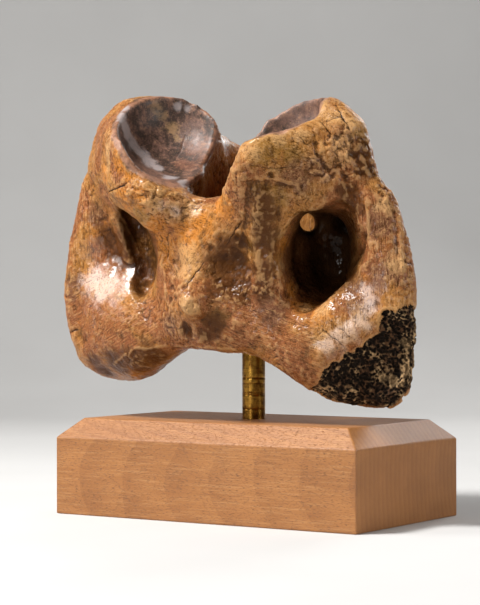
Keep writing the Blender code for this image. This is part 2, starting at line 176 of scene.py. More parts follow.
# Ridges, or with a height under 0 grooves: width and height in millimetres, and photo pixels
STROKES = (
    (0.8, 0.9, ((105.9, 192), (117.9, 209.5), (127.3, 228.2), (135.3, 244.3), (140.7, 260.3))),
    (1.3, 0.6, ((160.8, 255), (164.8, 273.7), (167.5, 300.5), (171.5, 311))),
    (0.9, 0.7, ((140, 350), (164, 345), (188.5, 346), (225, 348.5), (240.6, 349.7))),
    (0.9, 0.5, ((240.6, 349.7), (261, 359.4), (285, 369), (300, 383))),
    (1.0, 0.8, ((112.6, 364.7), (124, 356), (135.3, 348.7), (156.7, 347.3))),
    (1.8, -0.5, ((246.7, 184), (246.7, 208), (242, 231), (240.6, 252.7))),
    (1.4, -0.6, ((278, 186), (280, 210), (277, 240), (276, 275), (280, 300))),
    (2.4, 0.9, ((258, 190), (258, 215), (256, 245), (262, 285))),
    (0.9, -1.1, ((315.4, 137.5), (317.6, 154.2), (322, 162), (336.6, 179.9))),
    (1.0, -0.8, ((341, 170), (346, 182), (352, 196))),
    (1.1, -1.0, ((182, 318), (184, 328), (190, 340))),
    (0.8, 0.6, ((215, 130), (222, 136), (232, 141))),
    (0.8, -0.6, ((216, 140), (224, 139), (230, 136))),
    (1.3, -0.9, ((346, 150), (356, 158), (364, 170))),
    (1.2, 1.0, ((350, 133), (357, 146), (362, 160), (370, 178))),
    (1.6, 0.8, ((372, 196), (366, 210), (366, 235))),
    (1.3, 0.8, ((398, 206), (401, 230), (402, 260), (403, 290))),
    (0.8, -0.5, ((394, 206), (397, 232), (398, 262), (399, 292))),
)
# Ledges: the surface steps down by height on the right of the line
LEDGES = (
    (0.9, ((248.4, 181), (273, 180), (287.5, 184))),
    (0.5, ((240, 240), (244, 215), (246, 181))),
    (1.0, ((366, 213), (367, 227), (365, 247), (357, 262))),
)
# Hollows, or with a depth under 0 knobs: depth and radius in millimetres, photo pixel
HOLLOWS = (
    (2.8, 11.0, (228, 266)),
    (1.6, 8.0, (213, 325)),
    (1.0, 3.0, (186, 330)),
    (1.2, 9.0, (118, 250)),
    (1.3, 8.0, (155, 270)),
    (1.0, 7.0, (344, 205)),
    (1.0, 2.4, (67, 277)),
    (1.1, 1.6, (271, 176)),
    (0.9, 1.2, (296.5, 194)),
    (0.7, 1.0, (301, 186)),
    (0.9, 2.8, (337, 163)),
    (0.7, 2.6, (352, 140)),
    (0.7, 2.2, (360, 152)),
    (0.8, 2.0, (343, 176)),
    (0.8, 1.4, (172, 287)),
    (0.8, 1.4, (177, 290)),
    (0.9, 1.5, (171, 300)),
    (0.9, 1.2, (183, 287)),
    (-0.7, 3.5, (183, 306)),
    (-0.7, 3.0, (193, 310)),
    (-0.5, 2.5, (188, 300)),
    (-0.9, 4.0, (328, 150)),
    (-0.8, 3.0, (345, 158)),
    (-0.8, 4.0, (131, 190)),
    (-1.0, 6.0, (170, 206)),
)
# Regions: photo pixel and radius in millimetres of soft spots
ROUGH_SPOTS = (
    (340, 150, 11), (330, 165, 9), (352, 165, 10), (362, 140, 7), (187, 308, 6), (176, 294, 5),
    (130, 190, 7), (150, 200, 9), (175, 206, 9), (200, 203, 7), (385, 190, 8), (405, 215, 6),
    (408, 240, 5), (409, 265, 5), (409, 290, 5), (375, 172, 6), (66, 330, 5), (72, 355, 6),
    (225, 190, 6),
)
GLOSSY_SPOTS = (
    (100, 285, 19), (120, 285, 14), (90, 250, 10), (332, 112, 7), (135, 272, 9), (368, 292, 7),
    (369, 306, 8), (360, 320, 9), (348, 332, 9), (334, 343, 9), (225, 140, 5), (380, 285, 7),
    (345, 280, 5), (175, 208, 5), (196, 210, 5),
)
# The part of the left wing that is one smooth polished sheet
WING_SHEET = ((95, 285, 15), (113, 283, 15), (130, 276, 10), (105, 300, 12))
# Surfaces that get no painted shade although they lie in a hollow
UNSHADED_SPOTS = (
    (290, 306, 8), (303, 309, 9), (318, 310, 9), (333, 307, 8), (153, 270, 10), (152, 288, 10),
    (135, 220, 10), (145, 240, 11), (128, 212, 8), (307, 220, 3),
)
# Gold: mostly the bone's own colour, with painted light on the slope under the right hollow, which lies
# in shade
GOLD_SPOTS = (
    (150, 225, 13), (165, 245, 12), (125, 200, 9), (153, 282, 7), (135, 372, 9), (200, 225, 11),
    (270, 150, 12), (255, 150, 8), (305, 308, 9), (320, 312, 7), (222, 205, 9), (118, 160, 8),
    (104, 175, 8), (140, 200, 8), (290, 290, 6), (283, 245, 6), (98, 225, 8), (185, 235, 12),
    (130, 178, 6),
)
RUSSET_SPOTS = (
    (110, 335, 20), (150, 320, 14), (270, 320, 18), (235, 330, 16), (330, 350, 12), (210, 300, 12),
    (380, 260, 13), (385, 230, 12), (80, 310, 10), (300, 345, 12), (350, 300, 10),
)
OLIVE_SPOTS = (
    (270, 150, 13), (290, 155, 8), (262, 195, 8), (265, 215, 9), (270, 235, 9), (278, 195, 7),
    (255, 250, 7), (140, 215, 6), (215, 320, 7), (362, 135, 6),
)
PURPLE_SPOTS = (
    (262, 275, 9), (264, 300, 9), (300, 178, 12), (320, 170, 8), (380, 225, 11), (385, 275, 12),
    (275, 315, 9), (72, 285, 9), (185, 330, 6), (95, 215, 8), (352, 285, 8), (360, 305, 8),
    (170, 322, 7),
)
# Painted shade: dark browns in hollows, under the brows, in the band beside the right hollow and on the
# lower facets, and a painted dark reflection on the left wing
PAINTED_SHADE_SPOTS = (
    (120, 250, 14), (110, 236, 9), (131, 262, 8), (228, 262, 13), (222, 285, 10), (213, 325, 9),
    (204, 335, 6), (348, 192, 7), (349, 205, 8), (350, 220, 8), (350, 236, 7), (354, 250, 4),
    (125, 215, 6), (136, 228, 8), (240, 290, 9), (118, 364, 12), (134, 364, 12), (152, 356, 10),
    (240, 242, 6), (238, 270, 9), (186, 332, 5), (260, 200, 9), (264, 216, 10), (266, 232, 10),
    (264, 250, 10), (263, 270, 9), (262, 290, 8), (352, 275, 6), (95, 360, 7), (105, 370, 8),
    (362, 150, 8), (366, 168, 7),
)
# Tan: mostly the bone's own colour, with painted highlights along the streak on the right wing and
# painted light on the slope under the right hollow
TAN_SPOTS = (
    (187, 307, 7), (185, 262, 12), (175, 210, 8), (155, 203, 7), (335, 115, 9), (350, 122, 6),
    (345, 145, 8), (250, 150, 6), (278, 138, 5), (300, 135, 4), (408, 215, 4), (410, 245, 4),
    (411, 275, 4), (398, 262, 6), (345, 335, 8), (360, 318, 6), (108, 150, 6), (108, 165, 5),
    (282, 267, 3), (325, 340, 8), (385, 205, 5), (403, 346, 4), (404, 358, 4), (404, 370, 4),
    (382, 378, 4), (390, 381, 4), (190, 208, 7), (320, 108, 6), (130, 270, 5), (305, 309, 5),
    (322, 309, 5), (403, 382, 3),
)
# Painted highlights: pale spots where the left wing's polished sheet, the streak on the right wing, the
# brow and a ridge shine
PAINTED_HIGHLIGHT_SPOTS = (
    (95, 282, 9), (108, 280, 9), (98, 295, 7), (136, 270, 4), (368, 291, 4), (371, 301, 4),
    (369, 312, 5), (361, 321, 5), (351, 329, 5), (339, 337, 6), (328, 344, 5), (176, 211, 4),
    (165, 205, 4), (226, 138, 3),
)
CUP_SPOTS = {
    "cup_red": ((195, 150, 9), (203, 160, 6), (185, 165, 8), (165, 180, 6)),
    "cup_tan": ((157, 107, 5), (162, 116, 4), (172, 128, 5), (176, 138, 3)),
    # Painted highlight along the left cup's lip, and in a few small spots
    "cup_painted_highlight": (
        (119, 110, 5), (122, 118, 6), (125, 127, 6), (128, 136, 6), (133, 145, 6), (140, 153, 6),
        (148, 161, 6), (158, 168, 4), (178, 107, 3), (187, 109, 3), (172, 178, 5), (182, 182, 4),
    ),
    "cup_mauve": (
        (190, 130, 9), (205, 145, 8), (150, 172, 10), (170, 182, 9), (132, 160, 8), (295, 118, 14),
        (315, 112, 9), (160, 145, 5),
    ),
}
# Grain: a line of two photo pixels along the fibres, and the spots where they run so
GRAINS = (
    ("grain_wing", ((85, 350), (150, 305)), ((110, 335, 30), (80, 300, 18), (140, 330, 16))),
    ("grain_fan", ((180, 290), (158, 240)), ((165, 262, 14), (150, 225, 16), (120, 240, 14))),
    ("grain_slant", ((187, 284), (240, 222)), ((205, 255, 18), (225, 235, 12), (190, 240, 12))),
    ("grain_level", ((235, 330), (290, 350)), (
        (245, 325, 22), (290, 345, 20), (175, 205, 22), (285, 155, 22), (325, 355, 14),
    )),
)
# Outline of the broken corner, in photo pixels
BREAK_OUTLINE = (
    (383, 313), (388, 310), (396, 312), (404, 306), (413, 305), (424, 315), (424, 372), (404, 400),
    (372, 418), (333, 409), (308, 396), (311, 389), (318, 384), (323, 373), (332, 364), (341, 362),
    (346, 354), (355, 352), (365, 345), (371, 339), (381, 333.5), (380, 322),
)


def linked(name, data):
    """A new object with this data, in the scene."""
    thing = bpy.data.objects.new(name, data)
    bpy.context.scene.collection.objects.link(thing)
    return thing


class Photo:
    """The photo's pinhole camera: pixels to rays, and points in millimetres to pixels."""

    def __init__(self):
        yaw, pitch, roll = (math.radians(angle) for angle in (YAW, PITCH, ROLL))
        forward = Vector(
            (-math.sin(yaw) * math.cos(pitch), math.cos(yaw) * math.cos(pitch), -math.sin(pitch))
        )
        level = Vector((math.cos(yaw), math.sin(yaw), 0.0))
        above = level.cross(forward)
        self.right = level * math.cos(roll) + above * math.sin(roll)
        self.up = above * math.cos(roll) - level * math.sin(roll)
        self.forward = forward
        self.place = Vector(CAMERA_PLACE)

    def ray(self, px, py):
        across = (px - PHOTO_WIDTH / 2) / FOCAL_PX
        down = (py - PHOTO_HEIGHT / 2) / FOCAL_PX
        return (self.forward + self.right * across - self.up * down).normalized()

    def project(self, points):
        away = points * MM - np.array(self.place)
        depth = away @ np.array(self.forward)
        px = PHOTO_WIDTH / 2 + FOCAL_PX * (away @ np.array(self.right)) / depth
        py = PHOTO_HEIGHT / 2 - FOCAL_PX * (away @ np.array(self.up)) / depth
        return px, py

    def add_camera(self):
        data = bpy.data.cameras.new("photo_camera")
        data.sensor_width = SENSOR_MM
        data.lens = FOCAL_PX / PHOTO_HEIGHT * SENSOR_MM
        data.clip_start = 0.01
        camera = linked("photo_camera", data)
        turn = Matrix((self.right, self.up, -self.forward)).transposed().to_4x4()
        camera.matrix_world = Matrix.Translation(self.place) @ turn
        bpy.context.scene.camera = camera


# Tables for the noise
RANDOM = np.random.default_rng(11)
SHUFFLED = RANDOM.permutation(256)
DIRECTIONS = RANDOM.normal(size=(256, 3))
DIRECTIONS /= norm(DIRECTIONS, axis=1)[:, None]
JITTER = RANDOM.random((256, 3))
CORNERS = tuple(itertools.product((0, 1), repeat=3))
NEIGHBOURS = tuple(itertools.product((-1, 0, 1), repeat=3))


def hashed(cells):
    mixed = SHUFFLED[cells[:, 0] & 255]
    mixed = SHUFFLED[(mixed + cells[:, 1]) & 255]
    return SHUFFLED[(mixed + cells[:, 2]) & 255]


def noise(points, size, seed):
    """Smooth noise from about -1 to 1, with bumps about size across."""
    scaled = points / size + seed * 17.13
    cells = np.floor(scaled).astype(np.int64)
    inside = scaled - cells
    fade = inside ** 3 * (inside * (inside * 6 - 15) + 10)
    total = np.zeros(len(points))
    for corner in CORNERS:
        share = np.prod(np.where(corner, fade, 1.0 - fade), axis=1)
        total += share * np.sum(DIRECTIONS[hashed(cells + corner)] * (inside - corner), axis=1)
    return total * 1.6


def noise_3d(points, size, seed):
    """Three separate noises, one along each axis."""
    return np.stack([noise(points, size, seed + axis) for axis in range(3)], axis=1)


def layered(points, size, layers, seed):
    """Noise with finer and fainter layers added."""
    return sum(
        noise(points, size / 2 ** layer, seed + 3.7 * layer) / 2 ** layer for layer in range(layers)
    )


def spots(points, size, seed):
    """Distance to the nearest of scattered points, in units of size."""
    scaled = points / size + seed * 13.31
    cells = np.floor(scaled).astype(np.int64)
    nearest = np.full(len(points), 9.0)
    for shift in NEIGHBOURS:
        cell = cells + shift
        gap = norm(cell + JITTER[hashed(cell)] - scaled, axis=1)
        nearest = np.minimum(nearest, gap)
    return nearest


def smoothstep(values, low, high):
    share = np.clip((values - low) / (high - low), 0.0, 1.0)
    return share * share * (3.0 - 2.0 * share)


class Sculpt:
    """A dense mesh whose vertices are moved in millimetres, with named masks on them."""

    def __init__(self, obj, photo):
        self.mesh = obj.data
        self.photo = photo
        count = len(self.mesh.vertices)
        flat = np.empty(count * 3, np.float32)
        self.mesh.vertices.foreach_get("co", flat)
        self.points = flat.reshape(-1, 3).astype(float) / MM
        ends = np.empty(len(self.mesh.edges) * 2, np.int32)
        self.mesh.edges.foreach_get("vertices", ends)
        self.ends = ends.reshape(-1, 2)
        self.degree = np.maximum(np.bincount(ends, minlength=count), 1)
        self.tree = BVHTree.FromObject(obj, bpy.context.evaluated_depsgraph_get())
        self.ragged = layered(self.points, 5.0, 3, 77)
        self.refresh()

    def refresh(self):
        """Writes the points to the mesh and reads the normals there."""
        self.mesh.vertices.foreach_set("co", (self.points * MM).astype(np.float32).ravel())
        self.mesh.update()
        flat = np.empty(len(self.points) * 3, np.float32)
        self.mesh.vertex_normals.foreach_get("vector", flat)
        self.normals = flat.reshape(-1, 3).astype(float)

    def averaged(self, values, rounds):
        """values after each vertex took its neighbours' mean, rounds times."""
        first, second = self.ends[:, 0], self.ends[:, 1]
        count = len(self.points)
        columns = values.reshape(count, -1)
        for _ in range(rounds):
            summed = [
                np.bincount(first, column[second], count) + np.bincount(second, column[first], count)
                for column in columns.T
            ]
            columns = np.stack(summed, axis=1) / self.degree[:, None]
        return columns.reshape(values.shape)

    def bulge(self, rounds):
        """How far each vertex stands out from its smoothed surroundings."""
        return np.sum((self.points - self.averaged(self.points, rounds)) * self.normals, axis=1)

    def push(self, amount):
        self.points = self.points + self.normals * amount[:, None]

    def mark(self, name, values):
        attribute = self.mesh.attributes.new(name, "FLOAT", "POINT")
        attribute.data.foreach_set("value", values.astype(np.float32))

    def hit(self, px, py):
        """The point of the surface that shows at a photo pixel, in millimetres."""
        place = self.tree.ray_cast(self.photo.place, self.photo.ray(px, py))[0]
        return None if place is None else np.array(place) / MM

    def line_on(self, pixels, step=1.0):
        """Points along a line of photo pixels, on the surface, about step pixels apart."""
        found = []
        for (x0, y0), (x1, y1) in zip(pixels[:-1], pixels[1:]):
            count = max(2, int(math.hypot(x1 - x0, y1 - y0) / step))
            for share in np.linspace(0.0, 1.0, count, endpoint=False):
                found.append(self.hit(x0 + (x1 - x0) * share, y0 + (y1 - y0) * share))
        found.append(self.hit(*pixels[-1]))
        return np.array([place for place in found if place is not None])

    def near_line(self, line, reach):
        """For vertices within reach of a line: their indices, distance and signed side offset."""
        low, high = line.min(0) - reach, line.max(0) + reach
        close = np.where(np.all((self.points > low) & (self.points < high), axis=1))[0]
        away = self.points[close][:, None, :] - line[None, :, :]
        gaps = norm(away, axis=2)
        nearest = gaps.argmin(1)
        distance = gaps[np.arange(len(close)), nearest]
        along = np.gradient(line, axis=0)[nearest]
        across = np.cross(along, self.normals[close])
        across /= norm(across, axis=1)[:, None] + 1e-9
        offset = np.sum(away[np.arange(len(close)), nearest] * across, axis=1)
        keep = distance < reach
        return close[keep], distance[keep], offset[keep]

    def from_ends(self, index, line):
        """How far the vertices with these indices are from the nearer end of a line."""
        near = self.points[index]
        first, last = (norm(near - end, axis=1) for end in (line[0], line[-1]))
        return np.minimum(first, last)

    def spot(self, px, py, radius, ragged):
        """A soft mask about the surface point at a photo pixel, radius in millimetres."""
        centre = self.hit(px, py)
        if centre is None:
            return np.zeros(len(self.points))
        gap = norm(self.points - centre, axis=1) / radius
        return 1.0 - smoothstep(gap + ragged * self.ragged, 0.1, 1.15)

    def region(self, spots_there, ragged=0.35):
        """A mask that joins soft spots, each a photo pixel and a radius in millimetres."""
        mask = np.zeros(len(self.points))
        for px, py, radius in spots_there:
            mask = np.maximum(mask, self.spot(px, py, radius, ragged))
        return mask

    def draw(self, width, height, pixels, end_fade=3.0):
        """A ridge, or with a height under 0 a groove, along a line of photo pixels."""
        line = self.line_on(pixels)
        index, distance, _ = self.near_line(line, 3.0 * width)
        ends = self.from_ends(index, line)
        uneven = 0.75 + 0.35 * noise(self.points[index], 3.0, 31)
        lift = height * np.exp(-((distance / width) ** 2)) * smoothstep(ends, 0.0, end_fade) * uneven
        self.points[index] += self.normals[index] * lift[:, None]

    def fair(self, spots_there, most):
        """Draws an area that faces -Y towards the smooth curved sheet that fits it best."""
        share = self.region(spots_there, 0.0) * (self.normals[:, 1] < -0.5)
        near = share > 0.02
        x, y, z = (self.points[near] - self.points[near].mean(0)).T
        terms = np.stack((np.ones_like(x), x, z, x * x, x * z, z * z), axis=1)
        weight = share[near]
        for _ in range(3):
            found = np.linalg.lstsq(terms * weight[:, None], y * weight, rcond=None)[0]
            gap = terms @ found - y
            weight = share[near] * (1.0 - smoothstep(np.abs(gap), 0.6 * most, most))
        self.points[near, 1] += gap * weight
        self.refresh()

    def ledge(self, height, pixels, reach=5.0):
        """A step along a line: the side on the right of the way that it is drawn sinks."""
        line = self.line_on(pixels)
        index, distance, offset = self.near_line(line, reach)
        fade = 1.0 - smoothstep(distance, 0.3 * reach, reach)
        drop = height * smoothstep(offset, -0.35, 0.35) * fade
        self.points[index] -= self.normals[index] * drop[:, None]

    def dimples(self, count, share, radii, depth, seed):
        """Small round pits at random vertices, more where share is high."""
        rng = np.random.default_rng(seed)
        chance = np.maximum(share, 0.0) / np.maximum(share, 0.0).sum()
        tree = KDTree(len(self.points))
        for index, point in enumerate(self.points):
            tree.insert(point, index)
        tree.balance()
        for index in rng.choice(len(self.points), count, p=chance):
            radius = rng.uniform(*radii)
            around = tree.find_range(Vector(self.points[index]), 1.6 * radius)
            close = np.array([item[1] for item in around])
            gaps = np.array([item[2] for item in around])
            self.points[close] -= (
                self.normals[close] * (depth * radius * np.exp(-((gaps / radius) ** 4)))[:, None]
            )

    def openness(self, coarse, reach=30.0, rays=48):
        """How open each vertex is to the outside, from rays cast off a coarse mesh."""
        directions = np.random.default_rng(3).normal(size=(rays, 3))
        directions /= norm(directions, axis=1)[:, None]
        tree = KDTree(len(coarse.data.vertices))
        values = []
        for vert in coarse.data.vertices:
            normal = np.array(vert.normal)
            start = vert.co + vert.normal * 0.6 * MM
            free = []
            for direction in directions:
                facing = float(direction @ normal)
                if facing > 0.15:
                    blocked = self.tree.ray_cast(start, Vector(direction), reach * MM)[0]
                    free.append((facing, blocked is None))
            weight = sum(share for share, _ in free) or 1.0
            values.append(sum(share for share, clear in free if clear) / weight)
            tree.insert(vert.co, vert.index)
        tree.balance()
        values = np.array(values)
        nearest = np.array([tree.find(Vector(point * MM))[1] for point in self.points])
        return self.averaged(values[nearest], 90)


def dense_copy(node, name, voxel, sigma):
    """A voxel remesh of a CAD node, smoothed by about sigma, all in millimetres."""
    piece = linked(name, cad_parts[node].data.copy())
    remesh = piece.modifiers.new("Remesh", "REMESH")
    remesh.mode = "VOXEL"
    remesh.voxel_size = voxel * MM
    smooth = piece.modifiers.new("Smooth", "SMOOTH")
    smooth.factor = 0.5
    smooth.iterations = int(round(4.0 * (sigma / voxel) ** 2))
    graph = bpy.context.evaluated_depsgraph_get()
    mesh = bpy.data.meshes.new_from_object(piece.evaluated_get(graph))
    piece.modifiers.clear()
    piece.data = mesh
    mesh.name = name
    mesh.materials.clear()
    mesh.shade_smooth()
    bpy.context.view_layer.update()
    return piece


def cup_shell(points):
    """About 1 on the hollow of either cup, and more outside it."""
    high = np.clip((points[:, 2] - CUP_SHIFT_START) / CUP_SHIFT_RISE, 0.0, 1.0)
    x = points[:, 0] + CUP_SHIFT_LEFT * high
    upright = np.stack((x, points[:, 1], points[:, 2] + RIGHT_SIDE_DROP * x), axis=1)
    shells = []
    for side, rim_middle, radii in CUPS:
        out = Vector((side * CUP_OUT[0], *CUP_OUT[1:])).normalized()
        middle = Vector(rim_middle) + out * CUP_LIFT
        along = Vector((side * CUP_LONG[0], *CUP_LONG[1:]))
        along = (along - out * along.dot(out)).normalized()
        turn = np.array((along, out.cross(along), out))
        local = (upright - np.array(middle)) @ turn.T
        shells.append(norm(local / np.array(radii), axis=1))
    return np.minimum(*shells)


def inside_outline(px, py, outline):
    """Whether each pixel lies inside a closed outline."""
    inside = np.zeros(len(px), bool)
    for (x0, y0), (x1, y1) in zip(outline, outline[1:] + outline[:1]):
        crosses = (y0 > py) != (y1 > py)
        with np.errstate(divide="ignore", invalid="ignore"):
            at = (x1 - x0) * (py - y0) / (y1 - y0) + x0
        inside ^= crosses & (px < at)
    return inside


def break_mask(points, normals, photo):
    """Whether each point lies on the broken corner, where spongy bone shows."""
    px, py = photo.project(points)
    wobble = noise(points, 2.5, 41) * 2.0
    inside = inside_outline(px + wobble, py + 2.0 * noise(points, 2.5, 42), BREAK_OUTLINE)
    facing = normals @ -np.array(photo.forward) > -0.15
    return inside & facing & (points[:, 0] > BREAK_INNER_X) & (points[:, 2] < BREAK_TOP_Z)


def finer_break(piece, photo):
    """Splits the faces of the broken corner, so that its small cells can be carved."""
    sculpt = Sculpt(piece, photo)
    chosen = break_mask(sculpt.points, sculpt.normals, photo)
    bm = bmesh.new()
    bm.from_mesh(piece.data)
    edges = [edge for edge in bm.edges if chosen[edge.verts[0].index] and chosen[edge.verts[1].index]]
    bmesh.ops.subdivide_edges(bm, edges=edges, cuts=1, use_grid_fill=True)
    bm.to_mesh(piece.data)
    bm.free()


def carve(bone, sponge, cup):
    """The named features, then the uneven surface everywhere."""
    bone.fair(WING_SHEET, 3.0)
    for height, pixels in LEDGES:
        bone.ledge(height, pixels)
    bone.refresh()
    for width, height, pixels in STROKES:
        bone.draw(width, height, pixels)
    bone.refresh()
    for depth, radius, pixel in HOLLOWS:
        bone.push(-depth * bone.spot(*pixel, 1.25 * radius, 0.15))
    bone.refresh()

    points = bone.points.copy()
    plain = (1.0 - cup) * (1.0 - sponge)
    rough = bone.region(ROUGH_SPOTS)
    glossy = bone.region(GLOSSY_SPOTS)
    edges = smoothstep(bone.bulge(40), 0.15, 0.8) * plain
    calm = plain * (1.0 - 0.75 * glossy)
    bone.push(plain * 0.4 * noise(points, 15.0, 1) + calm * 0.36 * layered(points, 6.0, 2, 2))
    bone.push(calm * 0.16 * layered(points, 1.8, 2, 3))
    warped = points + 1.2 * noise_3d(points, 5.0, 70)
    wrinkles = 1.0 - smoothstep(np.abs(noise(warped, 4.5, 74)), 0.0, 0.14)
    creases = 1.0 - smoothstep(np.abs(noise(warped, 2.2, 75)), 0.0, 0.16)
    uneven = smoothstep(noise(points, 14.0, 76) + 0.6 * rough, -0.1, 0.5)
    bone.push(-calm * uneven * (0.32 * wrinkles + 0.2 * creases))
    knobs = np.abs(noise(points, 5.0, 8)) + 0.6 * np.abs(noise(points, 2.2, 9))
    bone.push(rough * plain * (1.5 * knobs - 0.6))
    bone.push(edges * (0.3 * layered(points, 2.6, 2, 12) - 0.12))
    bone.push(cup * (0.12 * noise(points, 6.0, 13) + 0.03 * noise(points, 1.5, 14)))
    bone.refresh()
    share = plain * (0.1 + rough + edges) * (1.0 - 0.8 * glossy)
    bone.dimples(420, share, (0.3, 0.65), 0.5, 21)
    bone.refresh()
    return rough, glossy


def carve_break(bone, sponge):
    """An uneven broken face with open cells. Returns the distance to the cells' middles."""
    points = bone.points.copy()
    bone.push(sponge * (1.1 * layered(points, 7.0, 3, 5) - 0.9))
    bone.refresh()
    warped = points + 0.5 * noise_3d(points, 1.1, 60)
    cells = np.minimum(spots(warped, 1.35, 7), spots(warped, 2.1, 8) * 1.1)
    bone.push(-sponge * (1.0 - smoothstep(cells, 0.2, 0.62)))
    bone.refresh()
    return cells


def cracked(bone):
    """Cuts the cracks and returns, for the material, the offset from and nearness of each."""
    count = len(bone.points)
    side, near, gap = np.full(count, 3.0), np.zeros(count), np.full(count, 9.0)
    depth = np.zeros(count)
    for width, pixels in CRACKS:
        line = bone.line_on(pixels, 0.7)
        line = line + (0.5 * noise_3d(line, 2.6, 20) + 0.2 * noise_3d(line, 0.9, 30))
        index, distance, offset = bone.near_line(line, 3.0)
        closer = distance < gap[index]
        index, distance, offset = index[closer], distance[closer], offset[closer]
        gap[index] = distance
        taper = smoothstep(bone.from_ends(index, line), 0.0, 6.0)
        side[index] = offset / (width * (0.25 + 0.75 * taper))
        near[index] = 1.0 - smoothstep(distance, 0.6, 1.8)
        depth[index] = 3.0 * width * np.exp(-((distance / (0.25 + width)) ** 2))
    bone.push(-depth)
    bone.refresh()
    return side, near


def give_slots(mesh, polish, cup, sponge):
    """Gives each face the material that the masks ask for at its first corner."""
    corners = np.empty(len(mesh.loops), np.int32)
    mesh.loops.foreach_get("vertex_index", corners)
    starts = np.empty(len(mesh.polygons), np.int32)
    mesh.polygons.foreach_get("loop_start", starts)
    first = corners[starts]
    slots = np.where(polish[first] > 0.5, POLISHED, WORN)
    slots = np.where(cup[first] > 0.5, SATIN, slots)
    slots = np.where(sponge[first] > 0.5, SPONGY, slots)
    mesh.polygons.foreach_set("material_index", slots.astype(np.int32))
    mesh.update()


def sculpted_bone(photo):
    """The bone, sculpted, marked for its materials and put in place of the CAD solid."""
    voxel = BONE_VOXEL
    piece = dense_copy("atlas_vertebra", "fossil_atlas", voxel, FACET_SIGMA)
    finer_break(piece, photo)
    bone = Sculpt(piece, photo)
    openness = bone.openness(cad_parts["atlas_vertebra"])
    shell = cup_shell(bone.points)
    cup = 1.0 - smoothstep(shell + 0.04 * noise(bone.points, 5.0, 51), 1.1, 1.17)
    broken = break_mask(bone.points, bone.normals, photo)
    sponge = bone.averaged(broken.astype(float), 2)
    rough, glossy = carve(bone, sponge, cup)
    cells = carve_break(bone, sponge)
    side, near = cracked(bone)

    masks = {
        "cup": cup, "rough": rough, "glossy": glossy,
        # How open each vertex is to the outside, which sets the painted shade of hollows
        "open": np.maximum(openness, bone.region(UNSHADED_SPOTS)),
        "fine_edge": bone.bulge(12),
        "broad_edge": bone.bulge(70),
        "crack_side": side, "crack_near": near, "spongy_cell": cells,
        "gold": bone.region(GOLD_SPOTS), "russet": bone.region(RUSSET_SPOTS),
        "purple": bone.region(PURPLE_SPOTS), "painted_shade": bone.region(PAINTED_SHADE_SPOTS, 0.12),
        "tan": bone.region(TAN_SPOTS), "olive": bone.region(OLIVE_SPOTS),
        "pale": bone.region(PAINTED_HIGHLIGHT_SPOTS), "cup_rim": cup * smoothstep(shell, 0.98, 1.06),
    }
    for name, spots_there in CUP_SPOTS.items():
        masks[name] = bone.region(spots_there)
    for name, _, spots_there in GRAINS:
        masks[name] = bone.region(spots_there)
    for name, values in masks.items():
        bone.mark(name, values)
    directions = [(name, bone.hit(*ends[1]) - bone.hit(*ends[0])) for name, ends, _ in GRAINS]
    for material in (
        bone_material("worn_fossil_bone", directions, 0.1, 0.16, WARM_TINT),
        spongy_material(),
        bone_material("polished_fossil_bone", directions, 0.5, 0.3, CLEAR_TINT),
        bone_material("satin_cup_lining", directions, 0.3, 0.03, CLEAR_TINT),
    ):
        piece.data.materials.append(material)
    polish = glossy + 0.12 * noise(bone.points, 1.1, 61)
    give_slots(piece.data, polish, cup, sponge)
    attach(piece, "root")
    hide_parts("atlas_vertebra")


